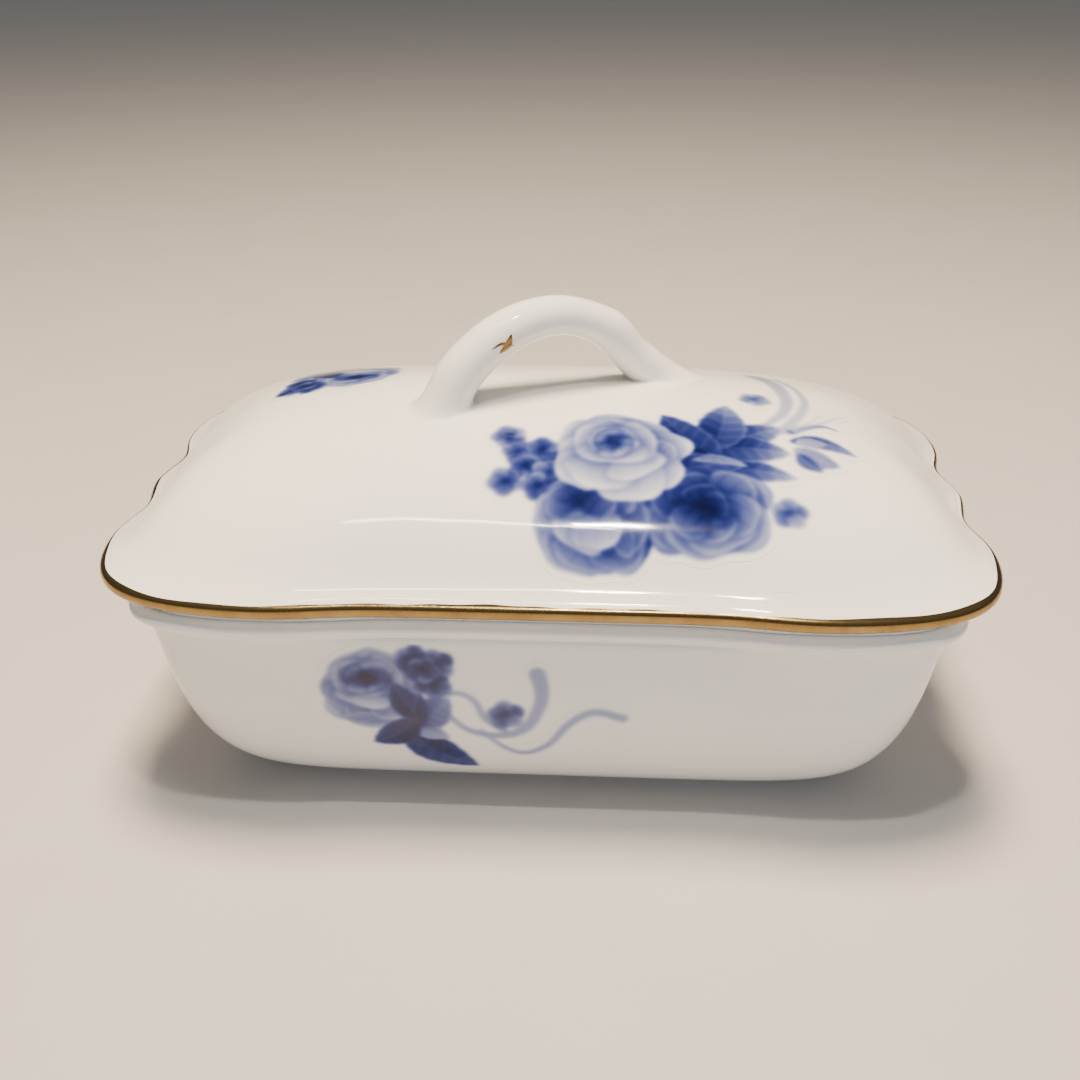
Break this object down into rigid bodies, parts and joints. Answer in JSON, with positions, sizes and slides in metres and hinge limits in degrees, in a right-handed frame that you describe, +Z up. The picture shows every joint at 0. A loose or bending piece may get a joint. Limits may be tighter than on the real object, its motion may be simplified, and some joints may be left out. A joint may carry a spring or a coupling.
{
  "type": "covered butter dish",
  "caption": "Deep rounded-rectangular porcelain dish with a domed, lobed and gilded lid that lifts off by a slantwise loop handle.",
  "frame": {"origin": "on the table under the centre of the dish", "axes": "+X along the dish's length, +Y towards the back, +Z up, the way the lid lifts"},
  "size_m": [0.189, 0.1182, 0.1028],
  "materials": {
    "porcelain": "clear gloss glaze over white porcelain",
    "gilding": "burnished fired gold"
  },
  "bodies": {
    "dish": {"dish": "porcelain"},
    "lid": {"lid": "porcelain", "lid_gilt_band": "gilding", "handle": "porcelain", "handle_gilt_accent": "gilding"}
  },
  "joints": [
    {"name": "lid_lift", "type": "slide", "parent": "dish", "child": "lid", "axis": [0, 0, 1], "range_m": [0, 0.12]}
  ]
}
